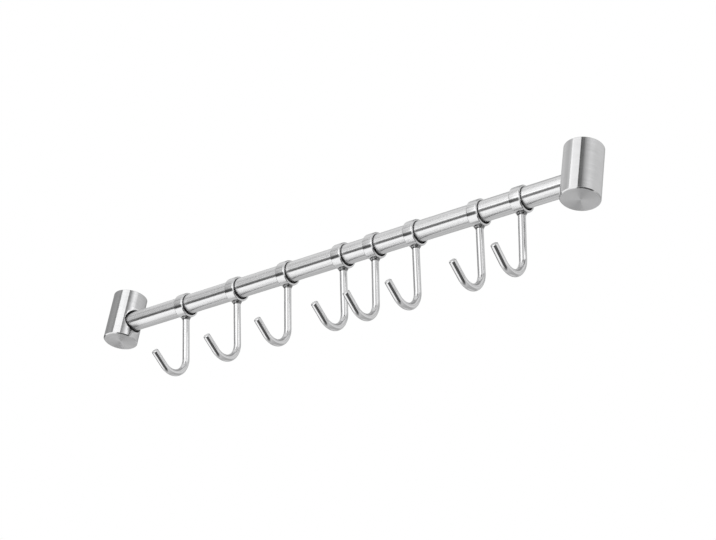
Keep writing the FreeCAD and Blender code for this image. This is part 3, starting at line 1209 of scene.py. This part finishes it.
@dataclass
class Studio:
    """A white studio: pale floor, soft panels, a sky of light and dark fields, and the camera."""

    floor_level: float = -1.5
    floor_half: float = 15.0
    floor_speckles: float = 40.0
    floor_greys: tuple[float, float] = (0.86, 0.90)
    floor_fade: tuple[float, float] = (0.2, 0.9)
    floor_whites: tuple[float, float] = (0.7, 1.0)
    camera_place: tuple[float, float, float] = (0.7608, -0.7607, -0.6784)
    camera_right: tuple[float, float, float] = (0.7702, 0.6230, 0.1367)
    camera_ahead: tuple[float, float, float] = (-0.5923, 0.6191, 0.5157)
    lens: float = 81.83
    sensor_width: float = 36.0
    clip: tuple[float, float] = (0.01, 100.0)
    plain_level: float = 0.8
    ceiling_level: float = 0.80
    white_level: float = 1.2
    glow_level: float = 0.75
    back_level: float = 0.48
    dark_level: float = 0.05
    slot_level: float = 0.36
    zenith_level: float = 0.35
    dark_share: float = 0.95

    # The level of each wall at bearings in degrees
    crest_wall: tuple[tuple[float, float], ...] = (
        (-180, 0.70), (-161, 0.63), (-144, 0.60), (-133, 0.72), (-120, 0.36), (-113, 0.12),
        (-90, 0.06), (-74, 0.04), (-66, 0.16), (-58, 0.17), (-51, 0.38), (-43, 0.58),
        (-32, 0.68), (-20, 0.78), (40, 0.76), (73, 0.72), (110, 0.46), (180, 0.70),
    )
    upper_wall: tuple[tuple[float, float], ...] = (
        (-180, 0.42), (-165, 0.62), (-124, 0.64), (-115, 0.40), (-80, 0.32), (-71, 0.08),
        (-44, 0.02), (-39, 0.32), (-33, 0.60), (-25, 0.96), (-14, 1.08), (-2, 0.84),
        (10, 0.50), (46, 0.52), (85, 0.52), (115, 0.30), (180, 0.42),
    )
    lower_wall: tuple[tuple[float, float], ...] = (
        (-180, 0.24), (-162, 0.30), (-143, 0.64), (-124, 0.64), (-114, 0.30), (-92, 0.30),
        (-68, 0.48), (-54, 0.60), (-46, 0.80), (-36, 0.74), (-27, 0.92), (-18, 1.50),
        (-3, 1.50), (8, 1.10), (20, 0.94), (32, 0.92), (48, 0.80), (80, 0.66), (180, 0.24),
    )

    # Heights of a direction between which one field gives way to the next
    table_to_wall: tuple[float, float] = (-0.06, 0.06)
    lower_to_upper: tuple[float, float] = (0.435, 0.468)
    upper_to_crest: tuple[float, float] = (0.51, 0.55)
    crest_to_ceiling: tuple[float, float] = (0.62, 0.78)
    slot_foot: tuple[float, float] = (0.41, 0.44)
    slot_top: tuple[float, float] = (0.55, 0.51)
    # The same for how far a direction goes left, and how far back over the white table
    slot_side: tuple[float, float] = (-0.33, -0.43)
    table_depth: tuple[float, float] = (-0.35, 0.80)

    # The thin dark line along the rail, in degrees about it, with an upper edge softer to the left
    line_foot: tuple[float, float] = (-41, -33)
    line_top: float = -18
    line_softness: tuple[float, float] = (60, 12)
    line_softness_run: tuple[float, float] = (-0.80, -0.40)
    line_strength: tuple[float, float] = (1.0, 0.6)
    line_strength_run: tuple[float, float] = (-0.44, -0.24)
    # The fainter line below it, which fades to the left
    streak_foot: tuple[float, float] = (-116, -106)
    streak_top: tuple[float, float] = (-88, -98)
    streak_strength: tuple[float, float] = (0.1, 0.65)
    streak_run: tuple[float, float] = (-0.80, -0.35)

    zenith: RoundField = RoundField((0.0, 0.2, 0.98), 38, 21)
    glow: RoundField = RoundField((-0.25, 0.85, -0.45), 24, 8)
    dark_fields: tuple[RoundField, ...] = (
        RoundField((0.36, -0.22, -0.907), 31, 25),
        RoundField((0.75, -0.10, -0.65), 27, 20),
        RoundField((-0.995, 0.05, -0.085), 21, 15),
    )

    def wall_level(self, board: NodeBoard, way: Sequence[bpy.types.NodeSocket]) -> bpy.types.NodeSocket:
        """The level of the walls and the ceiling in each direction.

        Args:
            board: The world's nodes.
            way: The direction's three parts.

        Returns:
            The level's socket.
        """
        x, y, z = way
        upper = board.bearing_levels(x, y, self.upper_wall)
        lower = board.bearing_levels(x, y, self.lower_wall)
        level = board.mix(board.span(z, *self.lower_to_upper), lower, upper)
        slot = board.product(board.span(z, *self.slot_foot), board.span(z, *self.slot_top))
        slot = board.product(slot, board.span(x, *self.slot_side))
        level = board.mix(slot, level, self.slot_level)
        crest = board.bearing_levels(x, y, self.crest_wall)
        level = board.mix(board.span(z, *self.upper_to_crest), level, crest)
        level = board.mix(board.span(z, *self.crest_to_ceiling), level, self.ceiling_level)
        return board.mix(self.zenith.share(board, way), level, self.zenith_level)

    def rail_lines(
        self, board: NodeBoard, way: Sequence[bpy.types.NodeSocket]
    ) -> tuple[bpy.types.NodeSocket, bpy.types.NodeSocket]:
        """How far each direction lies in the two dark lines that show along the rail.

        Args:
            board: The world's nodes.
            way: The direction's three parts.

        Returns:
            The sockets of the thin line's share and of the fainter one's.
        """
        x, y, z = way
        rise = board.math("ARCTAN2", z, board.product(y, -1.0))

        def edge(angles: tuple[float, float]) -> bpy.types.NodeSocket:
            """An edge between two angles about the rail, in degrees."""
            return board.span(rise, math.radians(angles[0]), math.radians(angles[1]))

        softest, crispest = (math.radians(angle) for angle in self.line_softness)
        softness = board.span(x, *self.line_softness_run, softest, crispest)
        above = board.math("DIVIDE", board.math("SUBTRACT", rise, math.radians(self.line_top)), softness)
        line = board.product(
            edge(self.line_foot), board.span(above, 1.0, 0.0),
            board.span(x, *self.line_strength_run, *self.line_strength),
        )
        streak = board.product(
            edge(self.streak_foot), edge(self.streak_top),
            board.span(x, *self.streak_run, *self.streak_strength),
        )
        return line, streak

    def sky_level(self, board: NodeBoard) -> bpy.types.NodeSocket:
        """What polished steel sees in each direction: walls, ceiling, white table and dark gaps.

        Args:
            board: The world's nodes.

        Returns:
            The level's socket.
        """
        parts = board.add("ShaderNodeSeparateXYZ")
        board.feed(parts.inputs[0], board.add("ShaderNodeTexCoord").outputs["Generated"])
        way = tuple(parts.outputs)
        y, z = way[1:]
        below = board.span(y, *self.table_depth, self.white_level, self.back_level)
        below = board.mix(self.glow.share(board, way), below, self.glow_level)
        level = board.mix(board.span(z, *self.table_to_wall), below, self.wall_level(board, way))
        for share in self.rail_lines(board, way):
            level = board.mix(share, level, self.dark_level)
        dark: Source = 0.0
        for field_of_sky in self.dark_fields:
            dark = board.math("MAXIMUM", dark, field_of_sky.share(board, way))
        return board.mix(board.product(dark, self.dark_share), level, self.dark_level)

    def hang_sky(self) -> None:
        """Light the world: white to the camera, light and dark fields to steel, and plain elsewhere."""
        world = bpy.data.worlds.new("studio_sky")
        bpy.context.scene.world = world
        world.use_nodes = True
        board = NodeBoard(world.node_tree)
        ray = board.add("ShaderNodeLightPath").outputs
        mirrored = board.math("MAXIMUM", ray["Is Glossy Ray"], ray["Is Transmission Ray"])
        level = board.mix(mirrored, self.plain_level, self.sky_level(board))
        level = board.mix(ray["Is Camera Ray"], level, 1.0)
        light = board.add("ShaderNodeBackground")
        light.inputs["Color"].default_value = (1, 1, 1, 1)
        board.feed(light.inputs["Strength"], level)
        output = board.add("ShaderNodeOutputWorld")
        board.feed(output.inputs["Surface"], light.outputs[0])

    def lay_floor(self) -> None:
        """Lay the pale floor, which shows the object's shadow and fades into the white around it."""
        mesh = bpy.data.meshes.new("pale_floor")
        draft = bmesh.new()
        bmesh.ops.create_grid(draft, x_segments=8, y_segments=8, size=self.floor_half)
        draft.to_mesh(mesh)
        draft.free()
        floor = new_piece(mesh, Matrix.Translation((0, 0, self.floor_level)))
        material = bpy.data.materials.new("pale_floor")
        material.use_nodes = True
        board = NodeBoard(material.node_tree)
        matt = board.add("ShaderNodeBsdfDiffuse")
        place = board.add("ShaderNodeTexCoord").outputs["Object"]
        speckle = board.noise(place, self.floor_speckles)
        grey = board.span(speckle, 0.0, 1.0, *self.floor_greys)
        board.feed(matt.inputs["Color"], grey)
        glow = board.add("ShaderNodeEmission")
        glow.inputs["Strength"].default_value = 1.0
        either = board.add("ShaderNodeMixShader")
        away = board.add("ShaderNodeVectorMath", operation="LENGTH")
        board.feed(away.inputs[0], place)
        near, far = (self.floor_half * share for share in self.floor_fade)
        fade = board.span(away.outputs["Value"], near, far, *self.floor_whites)
        share = board.product(board.add("ShaderNodeLightPath").outputs["Is Camera Ray"], fade)
        board.feed(either.inputs[0], share)
        board.feed(either.inputs[1], matt.outputs[0])
        board.feed(either.inputs[2], glow.outputs[0])
        output = board.add("ShaderNodeOutputMaterial")
        board.feed(output.inputs["Surface"], either.outputs[0])
        mesh.materials.append(material)
        floor.visible_glossy = False

    def set_camera(self) -> None:
        """Set the camera below the rail, at its right end, looking up along it."""
        camera = bpy.data.cameras.new("product_camera")
        camera.lens = self.lens
        camera.sensor_width = self.sensor_width
        camera.clip_start, camera.clip_end = self.clip
        ahead = Vector(self.camera_ahead).normalized()
        right = Vector(self.camera_right)
        right = (right - ahead * right.dot(ahead)).normalized()
        up = right.cross(ahead)
        stand = Matrix((right, up, -ahead)).transposed().to_4x4()
        stand.translation = self.camera_place
        holder = bpy.data.objects.new("product_camera", camera)
        bpy.context.scene.collection.objects.link(holder)
        holder.matrix_world = stand
        bpy.context.scene.camera = holder

    def build(self) -> None:
        """Set up the studio."""
        bpy.context.scene.view_settings.view_transform = "Standard"
        self.hang_sky()
        self.lay_floor()
        for panel in PANELS:
            panel.build()
        self.set_camera()


def main() -> None:
    """Build the rail, its posts and hooks, then the studio."""
    logging.basicConfig(level=logging.INFO, format="%(message)s")
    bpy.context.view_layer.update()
    makers: list[RailTube | EndPost | UtensilHook] = [RailTube()]
    makers += [EndPost(side) for side in Side]
    makers += [UtensilHook(number, angle) for number, angle in enumerate(HOOKS_OFF_PLUMB, start=1)]
    for maker in makers:
        for piece in maker.build():
            LOG.info("%s: %d faces", piece.name, len(piece.data.polygons))
    Studio().build()


if __name__ == "__main__":
    main()
